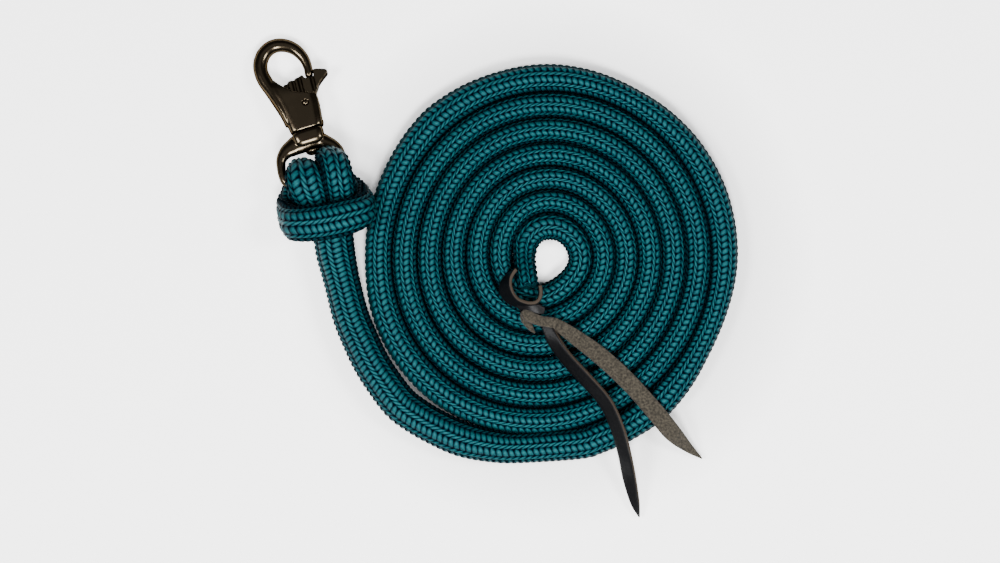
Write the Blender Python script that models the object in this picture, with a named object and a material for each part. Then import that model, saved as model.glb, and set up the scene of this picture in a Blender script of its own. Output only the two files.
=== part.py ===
"""Coiled lead rope: spliced eye on a swivel trigger snap, braided rope laid in a flat coil,
and a split leather popper on the rope's inner end.

Units are metres, +Z is up, and the whole object lies on the plane Z = 0.
Lengths below are written in millimetres and turned into metres by MM.
"""
import math

import bmesh
import bpy
from mathutils import Matrix, Vector

MM = 0.001

# Driving dimensions, in millimetres
ROPE_D = 14.3
ROPE_R = ROPE_D / 2
GAP = 0.3

COIL_CENTRE = (32.8, 10.2)
COIL_TURNS = 6.9
COIL_STEP_DEG = 262.0
COIL_EDGE_BEVEL = 4.6

TAIL_R_THROAT = 10.9
TAIL_R_COIL = 6.9

EYE_R = 7.0
BAR_CENTRE = (-105.6, 57.3, 17.2)
BOW_TURN_DEG = 8.5
BOW_TILT_DEG = 9.2
SNAP_TURN_DEG = 9.0

BOW_WIRE_R = 2.7
BOW_SEAT_V = 29.9
BOSS_R = 6.3
BOSS_LENGTH = 7.9
STUD_R = 2.2
STUD_DEPTH = 4.6
STUD_HEAD_R = 3.8
STUD_HEAD_H = 2.9

BODY_HALF_T = 6.0
POCKET_HALF_T = 3.7
TRIGGER_HALF_T = 3.3
PIVOT = (-4.4, 19.2)
PIVOT_PIN_R = 1.5
STOP = (4.2, 15.2)
STOP_R = 1.45
TRIGGER_TRAVEL_DEG = 35.0

SPRING_R = 2.85
SPRING_WIRE_R = 0.35
SPRING_TURNS = 2.5
SPRING_POCKET_R = 3.7
SPRING_POCKET_DEPTH = 3.2

LEATHER_T = 2.0
LEATHER_W = 10.0


# ---------------------------------------------------------------- helpers

def clear_scene():
    """Remove every object of the starting scene."""
    for obj in list(bpy.data.objects):
        bpy.data.objects.remove(obj, do_unlink=True)


def material(name, colour, roughness, metallic=0.0):
    """Make one Principled material."""
    mat = bpy.data.materials.new(name)
    mat.use_nodes = True
    bsdf = mat.node_tree.nodes["Principled BSDF"]
    bsdf.inputs["Base Color"].default_value = (*colour, 1.0)
    bsdf.inputs["Roughness"].default_value = roughness
    bsdf.inputs["Metallic"].default_value = metallic
    return mat


def link(name, data, mat, parent=None):
    """Put mesh or curve data in the scene as one named node."""
    obj = bpy.data.objects.new(name, data)
    bpy.context.collection.objects.link(obj)
    if mat is not None:
        data.materials.append(mat)
    obj.parent = parent
    return obj


def empty(name, matrix, parent=None):
    """Make a frame that pieces are placed by."""
    obj = bpy.data.objects.new(name, None)
    bpy.context.collection.objects.link(obj)
    obj.parent = parent
    obj.matrix_local = matrix
    return obj


def smooth(points, steps):
    """Catmull-Rom samples through hand-chosen route points, steps per stretch."""
    pts = [Vector(p) for p in points]
    ext = [2 * pts[0] - pts[1]] + pts + [2 * pts[-1] - pts[-2]]
    out = []
    for i in range(1, len(ext) - 2):
        a, b, c, d = ext[i - 1], ext[i], ext[i + 1], ext[i + 2]
        for s in range(steps):
            t = s / steps
            out.append(0.5 * (2 * b + (c - a) * t + (2 * a - 5 * b + 4 * c - d) * t * t
                              + (3 * b - a - 3 * c + d) * t ** 3))
    out.append(pts[-1])
    return out


def tube(name, points, radii, mat, parent=None, resolution=3, closed=False):
    """Round tube through the points, with filled ends; lengths in millimetres."""
    curve = bpy.data.curves.new(name, "CURVE")
    curve.dimensions = "3D"
    curve.bevel_depth = MM
    curve.bevel_resolution = resolution
    curve.use_fill_caps = not closed
    spline = curve.splines.new("POLY")
    spline.points.add(len(points) - 1)
    for point, pos, radius in zip(spline.points, points, radii):
        point.co = (pos[0] * MM, pos[1] * MM, pos[2] * MM, 1.0)
        point.radius = radius
    spline.use_cyclic_u = closed
    sketch = bpy.data.objects.new(name + "_route", curve)
    bpy.context.collection.objects.link(sketch)
    bpy.context.view_layer.update()
    seen = sketch.evaluated_get(bpy.context.evaluated_depsgraph_get())
    bm = bmesh.new()
    bm.from_mesh(bpy.data.meshes.new_from_object(seen))
    bmesh.ops.remove_doubles(bm, verts=bm.verts, dist=1e-6)
    bmesh.ops.recalc_face_normals(bm, faces=bm.faces)
    mesh = bpy.data.meshes.new(name)
    bm.to_mesh(mesh)
    bm.free()
    bpy.data.objects.remove(sketch, do_unlink=True)
    return link(name, mesh, mat, parent)


def prism(name, outline, z_low, z_high, mat, parent=None):
    """Straight extrusion of a flat outline between two heights."""
    bm = bmesh.new()
    low = [bm.verts.new((x * MM, y * MM, z_low * MM)) for x, y in outline]
    face = bm.faces.new(low)
    grown = bmesh.ops.extrude_face_region(bm, geom=[face])
    moved = [v for v in grown["geom"] if isinstance(v, bmesh.types.BMVert)]
    bmesh.ops.translate(bm, verts=moved, vec=(0, 0, (z_high - z_low) * MM))
    bmesh.ops.recalc_face_normals(bm, faces=bm.faces)
    mesh = bpy.data.meshes.new(name)
    bm.to_mesh(mesh)
    bm.free()
    return link(name, mesh, mat, parent)


def rod(name, start, end, radius, mat, parent=None, sides=24):
    """Plain cylinder between two points."""
    a = Vector(start) * MM
    b = Vector(end) * MM
    bm = bmesh.new()
    bmesh.ops.create_cone(bm, cap_ends=True, segments=sides, radius1=radius * MM,
                          radius2=radius * MM, depth=(b - a).length)
    turn = Vector((0, 0, 1)).rotation_difference(b - a).to_matrix().to_4x4()
    bmesh.ops.transform(bm, matrix=Matrix.Translation((a + b) / 2) @ turn, verts=bm.verts)
    mesh = bpy.data.meshes.new(name)
    bm.to_mesh(mesh)
    bm.free()
    return link(name, mesh, mat, parent)


def bevel(obj, width, segments, angle_deg=35.0):
    """Round the sharp edges of a solid."""
    mod = obj.modifiers.new("bevel", "BEVEL")
    mod.width = width * MM
    mod.segments = segments
    mod.limit_method = "ANGLE"
    mod.angle_limit = math.radians(angle_deg)


def bevel_rim(obj, width, segments):
    """Round only the level edges of a disc, at its two heights."""
    bm = bmesh.new()
    bm.from_mesh(obj.data)
    weight = bm.edges.layers.float.new("bevel_weight_edge")
    for edge in bm.edges:
        heights = [v.co.z for v in edge.verts]
        level = abs(heights[0] - heights[1]) < 1e-6
        edge[weight] = 1.0 if level and edge.calc_face_angle(0.0) > 1.0 else 0.0
    bm.to_mesh(obj.data)
    bm.free()
    mod = obj.modifiers.new("rim", "BEVEL")
    mod.width = width * MM
    mod.segments = segments
    mod.limit_method = "WEIGHT"


def boolean(obj, tool, operation):
    """Add an exact Boolean and hide its tool."""
    mod = obj.modifiers.new(tool.name, "BOOLEAN")
    mod.operation = operation
    mod.solver = "EXACT"
    mod.object = tool
    tool.hide_render = True
    tool.display_type = "WIRE"


def ribbon(name, points, widths, thickness, mat, banks=None):
    """Flat strip swept along a route, its width lying level unless banked."""
    pts = [Vector(p) for p in points]
    banks = banks or [0.0] * len(pts)
    bm = bmesh.new()
    rings = []
    for i, pos in enumerate(pts):
        ahead = pts[min(i + 1, len(pts) - 1)] - pts[max(i - 1, 0)]
        ahead.normalize()
        side = Vector((ahead.y, -ahead.x, 0)).normalized()
        side = Matrix.Rotation(math.radians(banks[i]), 3, ahead) @ side
        up = side.cross(ahead)
        w = widths[i] / 2
        t = thickness / 2
        corners = [side * w + up * t, side * w - up * t, -side * w - up * t, -side * w + up * t]
        rings.append([bm.verts.new((pos + c) * MM) for c in corners])
    for one, two in zip(rings, rings[1:]):
        for k in range(4):
            bm.faces.new((one[k], one[(k + 1) % 4], two[(k + 1) % 4], two[k]))
    bm.faces.new(rings[0])
    bm.faces.new(list(reversed(rings[-1])))
    bmesh.ops.recalc_face_normals(bm, faces=bm.faces)
    mesh = bpy.data.meshes.new(name)
    bm.to_mesh(mesh)
    bm.free()
    return link(name, mesh, mat)


def blend(values, steps):
    """Spread one value per route point over the smoothed samples."""
    out = []
    for a, b in zip(values, values[1:]):
        out += [a + (b - a) * s / steps for s in range(steps)]
    return out + [values[-1]]


# ---------------------------------------------------------------- rope

def lay_radius(angle_deg, turns):
    """Centreline radius of the laid turns: a spiral with the oval drift of a hand coil."""
    a = math.radians(angle_deg)
    n = turns
    return (110.0 - 15.33 * n + 0.165 * n * n
            + (0.19 * n - 4.03) * math.cos(a) + (0.21 * n + 2.83) * math.sin(a)
            + (0.18 * n - 1.43) * math.cos(2 * a) + (1.26 - 0.11 * n) * math.sin(2 * a)
            + 0.45 * math.cos(3 * a) - 0.29 * math.sin(3 * a))


def coil_point(angle_deg, radius):
    """Point of the coil's plane at an angle and radius about the coil's middle."""
    a = math.radians(angle_deg)
    return (COIL_CENTRE[0] + radius * math.cos(a), COIL_CENTRE[1] + radius * math.sin(a))


def build_coil(mat):
    """Flat hank of about seven touching turns, as one disc with its pear-shaped eye."""
    outline = []
    for k in range(73):
        angle = COIL_STEP_DEG + 5.0 * k
        turns = (angle - 270.0) / 360.0
        outline.append(coil_point(angle, lay_radius(angle, turns) + ROPE_R))
    disc = prism("rope_coil", outline, 0.0, ROPE_D, mat)
    bevel_rim(disc, COIL_EDGE_BEVEL, 3)
    eye = [(25.9, 20.6), (28.6, 22.6), (32.6, 23.4), (36.6, 22.9), (39.9, 20.4), (42.6, 16.4),
           (42.8, 12.0), (41.6, 8.0), (39.6, 4.0), (36.4, 0.6), (32.4, -1.2), (27.2, -2.0),
           (26.4, 2.2), (24.2, 7.4), (23.4, 11.8), (24.0, 16.8)]
    hole = prism("coil_hole_cut", eye, -5.0, ROPE_D + 5.0, None)
    boolean(disc, hole, "DIFFERENCE")
    route = smooth([(17.0, 19.5, 6.6), (17.0, 13.5, 7.4), (17.8, 6.0, 9.6), (19.2, -1.0, 12.8),
                    (19.9, -6.0, 14.0)], 3)
    end = tube("rope_end_union", route, [6.5] * len(route), None)
    boolean(disc, end, "UNION")
    return disc


def build_tail(mat):
    """Thick spliced stretch from the hitch to the place where it joins the outer turn."""
    angle = COIL_STEP_DEG
    turns = (angle - 270.0) / 360.0
    x, y = coil_point(angle, lay_radius(angle, turns))
    a = math.radians(angle)
    along = Vector((-math.sin(a), math.cos(a), 0))
    end = Vector((x, y, ROPE_R)) - along * GAP
    before = end - along * 6.0
    route = [(-95.93, 27.1, 14.0), (-95.2, 22.4, 13.7), (-93.6, 14.0, 12.4), (-91.5, 6.1, 11.5), (-88.6, -6.7, 11.0),
             (-84.6, -22.0, 10.8), (-79.6, -34.5, 10.7), (-73.7, -48.6, 10.6),
             (-66.4, -60.0, 10.5), (-55.0, -72.6, 10.2), (-33.9, -86.6, 9.9), (-18.7, -93.2, 9.4),
             (-0.3, -97.2, 8.2), tuple(before), tuple(end)]
    sizes = [TAIL_R_THROAT, 10.9, 10.9, 10.8, 10.7, 10.6, 10.6, 10.5, 10.4, 10.1, 9.8, 9.2, 8.1, 7.0,
             TAIL_R_COIL]
    route_smooth = smooth(route, 3)
    return tube("rope_splice", route_smooth, blend(sizes, 3), mat)


def build_eye(mat, frame):
    """Long spliced eye hitched round the bow's bar: two legs in front, one band across them."""
    z = BAR_CENTRE[2]
    left = [(-2.2, -31.0, 14.0), (-2.6, -24.0, 14.4), (-4.0, -17.0, 16.2), (-5.2, -10.0, 21.6),
            (-6.0, -4.0, 26.2), (-6.6, 0.5, 27.4), (-7.0, 6.4, 25.2), (-7.0, 10.2, 17.2),
            (-7.4, 6.8, 9.2), (-9.0, 0.0, 7.25), (-12.0, -7.6, 7.35), (-16.5, -13.6, 8.0),
            (-19.6, -18.4, 12.2), (-20.0, -21.8, 19.0), (-16.6, -23.4, 26.0),
            (-9.0, -23.9, 29.3), (0.0, -24.1, 30.2)]
    right = [(12.4, -31.0, 14.0), (12.8, -24.0, 14.4), (13.2, -17.0, 16.2), (12.8, -10.0, 21.6),
             (11.0, -4.0, 26.2), (8.8, 0.5, 27.4), (7.4, 6.4, 25.2), (7.2, 10.2, 17.2),
             (7.3, 6.8, 9.2), (9.2, 0.0, 7.25), (14.0, -6.6, 7.35), (20.4, -11.6, 8.2),
             (25.0, -16.2, 12.4), (26.4, -20.0, 19.2), (23.2, -22.4, 26.0),
             (16.0, -23.4, 29.3), (7.0, -24.1, 30.2)]
    flat = [(u, v, h - z) for u, v, h in left + list(reversed(right))]
    route = smooth(flat, 3)
    return tube("rope_eye", route, [EYE_R] * len(route), mat, frame, resolution=3)


# ---------------------------------------------------------------- swivel

def bow_route():
    """Closed centreline of the swivel bow: straight bar, bulged sides and a flat crown."""
    half = [(14.2, 0.3), (16.6, 2.0), (17.6, 6.0), (17.7, 11.0), (16.8, 16.0), (14.8, 20.2),
            (11.2, 23.4), (6.0, 25.2)]
    loop = [(-12.0, 0.0), (0.0, 0.0), (12.0, 0.0)] + half + [(0.0, 25.6)]
    loop += [(-u, v) for u, v in reversed(half)]
    pts = [(u, v, 0.0) for u, v in loop]
    ring = smooth(pts[-2:] + pts + pts[:2], 2)
    return ring[4:4 + 2 * len(pts)]


def build_bow(mat, bow_frame, snap_frame):
    """Swivel bow: wire loop with a drilled boss at its crown."""
    route = bow_route()
    bow = tube("swivel_bow", route, [BOW_WIRE_R] * len(route), mat, bow_frame, closed=True)
    boss = rod("bow_boss_union", (0, -GAP, 0), (0, -GAP - BOSS_LENGTH, 0), BOSS_R, None,
               snap_frame, sides=32)
    bevel(boss, 0.8, 2)
    boolean(bow, boss, "UNION")
    bore = rod("bow_bore_cut", (0, 4, 0), (0, -14, 0), STUD_R + GAP, None, snap_frame)
    boolean(bow, bore, "DIFFERENCE")
    return bow


def build_stud(mat, snap_frame):
    """Swivel stud: shank set in the snap's base, with a peened head inside the bow."""
    low = -GAP - BOSS_LENGTH - GAP
    stud = rod("swivel_stud", (0, STUD_DEPTH - GAP, 0), (0, low - 0.6, 0), STUD_R, mat,
               snap_frame)
    head = rod("stud_head_union", (0, low, 0), (0, low - STUD_HEAD_H, 0), STUD_HEAD_R, None,
               snap_frame)
    bevel(head, 1.1, 3)
    boolean(stud, head, "UNION")
    return stud


# ---------------------------------------------------------------- snap

BODY_OUTLINE = [(-9.4, 0.0), (10.0, 0.0), (10.9, 3.3), (11.3, 8.7), (11.8, 14.1), (11.6, 19.0),
                (7.0, 20.3), (2.6, 21.9), (-0.6, 23.6), (-5.6, 28.2), (-8.0, 31.2),
                (-10.4, 33.6), (-15.4, 33.6), (-17.0, 31.2), (-16.5, 28.0), (-15.2, 23.8),
                (-12.6, 14.6), (-11.2, 7.2)]

POCKET_OUTLINE = [(-6.5, 5.2), (0.0, 3.2), (30.0, 3.2), (30.0, 26.0), (1.0, 28.5), (-5.0, 38.0),
                  (-6.9, 29.4), (-9.1, 25.0), (-9.5, 19.5), (-8.8, 12.0)]

TRIGGER_OUTLINE = [(-5.9, 28.4), (-4.7, 29.7), (-3.1, 29.4), (-2.2, 30.5), (0.2, 30.9),
                   (2.4, 30.6), (5.0, 30.9), (7.4, 30.9), (7.9, 29.9), (13.3, 29.9),
                   (13.6, 33.1), (17.2, 32.2), (20.8, 30.9), (21.5, 28.9), (18.1, 26.2),
                   (14.8, 23.6), (12.4, 20.6), (10.4, 17.0), (8.6, 12.6), (4.4, 9.2),
                   (1.4, 8.2), (-0.9, 9.0), (-2.9, 10.6), (-4.8, 12.4), (-6.6, 14.4), (-8.0, 16.4),
                   (-8.7, 18.2), (-8.8, 19.4), (-8.3, 22.4)]


def hook_route():
    """Centreline and radii of the hook, from the spine over the top to the nose."""
    pts = [(-11.5, 23.6), (-13.5, 30.0), (-14.9, 35.5), (-15.2, 40.6), (-14.2, 46.0),
           (-10.4, 50.9), (-4.6, 53.2), (1.4, 52.0), (7.0, 48.2), (10.4, 42.4), (11.3, 36.4),
           (10.6, 30.5)]
    radii = [3.5, 4.0, 4.1, 4.1, 4.1, 4.0, 3.9, 3.7, 3.3, 2.8, 2.4, 2.15]
    route = smooth([(u, v, 0.0) for u, v in pts], 3)
    return route, blend(radii, 3)


def build_body(mat, frame):
    """Snap body: hollow two-cheek housing, spine and hook in one casting."""
    body = prism("snap_body", BODY_OUTLINE, -BODY_HALF_T, BODY_HALF_T, mat, frame)
    bevel(body, 1.6, 2)
    route, radii = hook_route()
    hook = tube("hook_union", route, radii, None, frame, resolution=4)
    boolean(body, hook, "UNION")
    pocket = prism("pocket_cut", POCKET_OUTLINE, -POCKET_HALF_T, POCKET_HALF_T, None, frame)
    boolean(body, pocket, "DIFFERENCE")
    pin_hole = rod("pivot_hole_cut", (*PIVOT, -9.0), (*PIVOT, 5.2), PIVOT_PIN_R + GAP, None,
                   frame)
    boolean(body, pin_hole, "DIFFERENCE")
    stop_hole = rod("stop_hole_cut", (*STOP, -9.0), (*STOP, 9.0), STOP_R + GAP, None, frame)
    boolean(body, stop_hole, "DIFFERENCE")
    stud_hole = rod("stud_hole_cut", (0, -3, 0), (0, STUD_DEPTH, 0), STUD_R + GAP, None, frame)
    boolean(body, stud_hole, "DIFFERENCE")
    return body


def slot_outline():
    """Arc slot in the trigger that the stop rivet slides along."""
    arm = Vector(STOP) - Vector(PIVOT)
    start = math.atan2(arm.y, arm.x)
    half = STOP_R + 0.4
    low = start - math.radians(2.0)
    high = start + math.radians(TRIGGER_TRAVEL_DEG + 2.0)
    pts = []
    for k in range(9):
        a = low + (high - low) * k / 8
        r = arm.length + half
        pts.append((PIVOT[0] + r * math.cos(a), PIVOT[1] + r * math.sin(a)))
    pts += slot_end(high, arm.length, half, 1)
    for k in range(9):
        a = high + (low - high) * k / 8
        r = arm.length - half
        pts.append((PIVOT[0] + r * math.cos(a), PIVOT[1] + r * math.sin(a)))
    pts += slot_end(low, arm.length, half, -1)
    return pts


def slot_end(angle, radius, half, way):
    """Round end of the arc slot."""
    cx = PIVOT[0] + radius * math.cos(angle)
    cy = PIVOT[1] + radius * math.sin(angle)
    first = angle if way > 0 else angle + math.pi
    return [(cx + half * math.cos(first + math.pi * k / 6),
             cy + half * math.sin(first + math.pi * k / 6)) for k in range(1, 6)]


def build_trigger(mat, frame):
    """Trigger: gate and thumb tab in one plate that turns between the cheeks."""
    trigger = prism("trigger", TRIGGER_OUTLINE, -TRIGGER_HALF_T, TRIGGER_HALF_T, mat, frame)
    bevel(trigger, 0.5, 2)
    bore = rod("trigger_bore_cut", (*PIVOT, -9.0), (*PIVOT, 9.0), PIVOT_PIN_R + GAP, None, frame)
    boolean(trigger, bore, "DIFFERENCE")
    floor = -TRIGGER_HALF_T + SPRING_POCKET_DEPTH
    seat = rod("spring_seat_cut", (*PIVOT, -9.0), (*PIVOT, floor), SPRING_POCKET_R, None, frame)
    boolean(trigger, seat, "DIFFERENCE")
    slot = prism("trigger_slot_cut", slot_outline(), -9.0, 9.0, None, frame)
    boolean(trigger, slot, "DIFFERENCE")
    return trigger


def build_pins(mat, frame):
    """Pivot pin set in from the back, and the stop rivet through both cheeks."""
    pin = rod("trigger_pivot_pin", (*PIVOT, -BODY_HALF_T - 0.2), (*PIVOT, 4.9), PIVOT_PIN_R, mat,
              frame)
    rivet = rod("trigger_stop_rivet", (*STOP, -BODY_HALF_T - 0.3), (*STOP, BODY_HALF_T + 0.3),
                STOP_R, mat, frame)
    bevel(rivet, 0.35, 2)
    return pin, rivet


def build_spring(mat, frame):
    """Torsion spring round the pivot pin, seated in the trigger's pocket."""
    low = -TRIGGER_HALF_T + SPRING_WIRE_R + 0.3
    rise = (SPRING_POCKET_DEPTH - 2 * SPRING_WIRE_R - 0.7) / SPRING_TURNS
    count = int(SPRING_TURNS * 14) + 1
    pts = []
    for k in range(count):
        a = 2 * math.pi * k / 14
        pts.append((PIVOT[0] + SPRING_R * math.cos(a), PIVOT[1] + SPRING_R * math.sin(a),
                    low + rise * k / 14))
    return tube("trigger_spring", pts, [SPRING_WIRE_R] * count, mat, frame, resolution=1)


# ---------------------------------------------------------------- popper

def build_popper(grain, suede):
    """Leather popper: collar round the rope's end, slit knot, and two tails over the coil."""
    top = ROPE_D + GAP
    collar = smooth([(10.6, 5.4, 18.4), (9.6, 2.6, 18.4), (9.2, -1.6, 18.4), (9.4, -6.2, 18.4),
                     (11.6, -10.6, 18.4), (15.6, -13.6, 18.4), (20.2, -14.4, 18.4),
                     (24.6, -13.6, 18.4), (27.4, -10.4, 18.4), (28.0, -5.4, 18.4)], 2)
    ribbon("popper_collar", collar, [7.4] * len(collar), LEATHER_T, grain,
           [90.0] * len(collar))
    knot = [(14.6, -22.2, top + 1.9), (19.6, -22.4, top + 1.9), (27.0, -24.0, top + 1.9),
            (33.0, -25.6, top + 1.9)]
    ribbon("popper_knot", knot, [11.0, 12.4, 11.6, 8.0], 3.6, suede)
    suede_route = smooth([(34.4, -26.0, top + 1.3), (46.8, -34.0, top + 1.3),
                          (58.5, -42.6, top + 1.3), (70.2, -52.8, top + 1.3),
                          (81.9, -64.6, top + 1.3), (93.8, -78.0, top + 1.4),
                          (104.4, -90.6, 12.6), (113.0, -98.6, 6.6), (121.4, -105.6, 2.4)], 2)
    suede_w = blend([5.0, 8.4, 9.6, LEATHER_W, LEATHER_W, LEATHER_W, LEATHER_W, 7.0, 1.6], 2)
    ribbon("popper_tail_suede", suede_route, suede_w, LEATHER_T, suede)
    grain_route = smooth([(32.0, -33.0, top + 1.5), (40.6, -45.8, top + 2.4),
                          (52.0, -58.8, top + 2.6), (63.6, -72.6, top + 2.6),
                          (71.0, -88.0, top + 2.6), (75.4, -103.0, top + 0.6), (78.6, -117.0, 7.6),
                          (82.4, -131.0, 3.0), (84.8, -139.3, 2.2)], 2)
    grain_w = blend([5.0, 7.4, 9.0, 9.4, 9.4, 9.4, 9.0, 6.0, 1.6], 2)
    ribbon("popper_tail_grain", grain_route, grain_w, LEATHER_T, grain,
           blend([0.0, 10.0, 15.0, 15.0, 15.0, 15.0, 10.0, 0.0, 0.0], 2))


# ---------------------------------------------------------------- assembly

def build():
    """Build every piece in place."""
    clear_scene()
    teal = material("braided_rope", (0.012, 0.145, 0.15), 0.85)
    metal = material("gunmetal", (0.045, 0.034, 0.026), 0.28, 0.9)
    steel = material("spring_steel", (0.35, 0.35, 0.36), 0.35, 1.0)
    grain = material("leather_grain", (0.008, 0.008, 0.009), 0.35)
    suede = material("leather_suede", (0.115, 0.095, 0.075), 0.9)

    hitch = Matrix.Translation(Vector(BAR_CENTRE) * MM) @ Matrix.Rotation(
        math.radians(BOW_TURN_DEG), 4, "Z")
    hitch_frame = empty("hitch_frame", hitch)
    bow_frame = empty("bow_frame", Matrix.Rotation(math.radians(-BOW_TILT_DEG), 4, "X"),
                      hitch_frame)
    seat = Matrix.Translation((0, BOW_SEAT_V * MM, 0)) @ Matrix.Rotation(
        math.radians(SNAP_TURN_DEG), 4, "Z")
    snap_frame = empty("snap_frame", seat, bow_frame)

    build_coil(teal)
    build_tail(teal)
    build_eye(teal, hitch_frame)
    build_bow(metal, bow_frame, snap_frame)
    build_stud(metal, snap_frame)
    build_body(metal, snap_frame)
    build_trigger(metal, snap_frame)
    build_pins(metal, snap_frame)
    build_spring(steel, snap_frame)
    build_popper(grain, suede)


build()
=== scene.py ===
"""Coiled lead rope with a swivel trigger snap and a split leather popper.

Lengths inside the builders are in millimetres in the part's frame; meshes are written in metres.
"""
import logging
import math
from dataclasses import dataclass, field
from enum import Enum
from typing import Sequence

import bpy
import numpy as np
from bpy.types import ID, Material, Mesh, Node, NodeSocket, Object
from mathutils import Matrix, Vector
from mathutils.geometry import tessellate_polygon


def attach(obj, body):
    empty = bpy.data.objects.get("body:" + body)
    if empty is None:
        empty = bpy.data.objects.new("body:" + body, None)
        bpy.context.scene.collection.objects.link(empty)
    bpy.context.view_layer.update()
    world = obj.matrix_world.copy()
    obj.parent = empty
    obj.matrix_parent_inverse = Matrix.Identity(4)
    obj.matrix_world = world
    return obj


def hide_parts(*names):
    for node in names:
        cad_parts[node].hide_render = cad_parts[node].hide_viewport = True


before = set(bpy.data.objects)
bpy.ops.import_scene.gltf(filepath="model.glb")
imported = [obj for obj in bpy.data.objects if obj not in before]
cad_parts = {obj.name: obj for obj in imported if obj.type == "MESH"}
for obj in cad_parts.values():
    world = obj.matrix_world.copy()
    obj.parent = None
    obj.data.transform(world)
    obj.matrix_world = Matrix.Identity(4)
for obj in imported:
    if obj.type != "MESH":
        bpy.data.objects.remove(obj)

LOG = logging.getLogger("lead_rope")
MM = 0.001

UP = np.array([0.0, 0.0, 1.0])

Array = np.ndarray
Shape = tuple[Array, Array, Array]    # vertices in millimetres, quads, triangles
Colour = tuple[float, float, float]
Rows = Sequence[Sequence[float]]


# ---- geometry in arrays

def unit(v: Array) -> Array:
    """Rows of v scaled to length one."""
    return v / np.maximum(np.linalg.norm(v, axis=-1, keepdims=True), 1e-12)


def spline(points: Rows, steps: int, closed: bool = False) -> Array:
    """Catmull-Rom curve through control rows: a cubic between each pair, whose slopes are half
    the chord of the neighbours.

    Args:
        points: control rows, of any number of columns.
        steps: samples for each stretch.
        closed: join the last row to the first.

    Returns:
        Sampled rows; an open curve keeps its last row.
    """
    p = np.asarray(points, float)
    if closed:
        ext = np.vstack([p[-1:], p, p[:2]])
    else:
        ext = np.vstack([2 * p[0] - p[1], p, 2 * p[-1] - p[-2]])
    a, b, c, d = ext[:-3], ext[1:-2], ext[2:-1], ext[3:]
    t = (np.arange(steps) / steps)[None, :, None]
    a, b, c, d = (q[:, None, :] for q in (a, b, c, d))
    rows = 0.5 * (2 * b + (c - a) * t + (2 * a - 5 * b + 4 * c - d) * t ** 2
                  + (3 * b - a - 3 * c + d) * t ** 3)
    out = rows.reshape(-1, p.shape[1])
    return out if closed else np.vstack([out, p[-1:]])


def arc_length(path: Array) -> Array:
    """Distance along the path at each row, from zero."""
    return np.concatenate([[0.0], np.cumsum(np.linalg.norm(np.diff(path, axis=0), axis=1))])


def tangents(path: Array, closed: bool = False) -> Array:
    """Unit directions along the path, by central differences."""
    if closed:
        return unit(np.roll(path, -1, axis=0) - np.roll(path, 1, axis=0))
    return unit(np.gradient(path, axis=0))


def across(tangent: Array, normal: Array) -> tuple[Array, Array]:
    """Normals made square to the tangents, and the sideways directions that go with them."""
    n = unit(normal - (normal * tangent).sum(-1, keepdims=True) * tangent)
    return n, np.cross(tangent, n)


def interp_rows(x: Array, xp: Array, rows: Array) -> Array:
    """Linear interpolation of each column of rows at the stations x, of any shape."""
    return np.stack([np.interp(x, xp, rows[:, k]) for k in range(rows.shape[1])], axis=-1)


def grid_faces(rows: int, cols: int, wrap_rows: bool = False) -> Array:
    """Quads of a grid that is closed round its columns, and round its rows if asked.

    Args:
        rows: number of rings.
        cols: points in a ring.
        wrap_rows: join the last ring to the first.

    Returns:
        Vertex numbers, four to a row.
    """
    i = np.arange(rows if wrap_rows else rows - 1)[:, None]
    j = np.arange(cols)[None, :]
    i2, j2 = (i + 1) % rows, (j + 1) % cols
    quads = [i * cols + j, i * cols + j2, i2 * cols + j2, i2 * cols + j]
    return np.stack(quads, axis=-1).reshape(-1, 4)


def make_mesh(name: str, verts: Array, quads: Array, tris: Array | None = None) -> Mesh:
    """Smooth-shaded mesh from arrays of millimetre points and vertex numbers.

    Args:
        name: the mesh's name.
        verts: points, three columns, in millimetres.
        quads: four-cornered faces.
        tris: three-cornered faces, if any.

    Returns:
        The filled mesh.
    """
    mesh = bpy.data.meshes.new(name)
    tris = np.zeros((0, 3), int) if tris is None else np.asarray(tris)
    loops = np.concatenate([quads.ravel(), tris.ravel()]).astype(np.int32)
    sizes = np.concatenate([np.full(len(quads), 4), np.full(len(tris), 3)])
    starts = np.concatenate([[0], np.cumsum(sizes)[:-1]]).astype(np.int32)
    mesh.vertices.add(len(verts))
    mesh.vertices.foreach_set("co", (np.asarray(verts) * MM).astype(np.float32).ravel())
    mesh.loops.add(len(loops))
    mesh.loops.foreach_set("vertex_index", loops)
    mesh.polygons.add(len(sizes))
    mesh.polygons.foreach_set("loop_start", starts)
    mesh.polygons.foreach_set("use_smooth", np.full(len(sizes), True))
    mesh.update(calc_edges=True)
    mesh.validate()
    return mesh


def capped_tube(rings: Array) -> Shape:
    """Closed skin over rings of points: quads between rings and a fan of triangles on each end.

    Args:
        rings: array of ring, point, xyz.

    Returns:
        Vertices, quads and triangles, facing out when the rings turn left round their path.
    """
    rows, cols = rings.shape[:2]
    verts = np.vstack([rings.reshape(-1, 3), rings[0].mean(0), rings[-1].mean(0)])
    quads = grid_faces(rows, cols)
    j = np.arange(cols)
    nxt = (j + 1) % cols
    first = np.stack([np.full(cols, rows * cols), nxt, j], axis=1)
    base = (rows - 1) * cols
    last = np.stack([np.full(cols, rows * cols + 1), base + j, base + nxt], axis=1)
    return verts, quads, np.vstack([first, last])


def signed_power(values: Array, power: float) -> Array:
    """Sizes raised to a power below one, which squares a circle off, with their signs kept."""
    return np.sign(values) * np.abs(values) ** power


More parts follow.
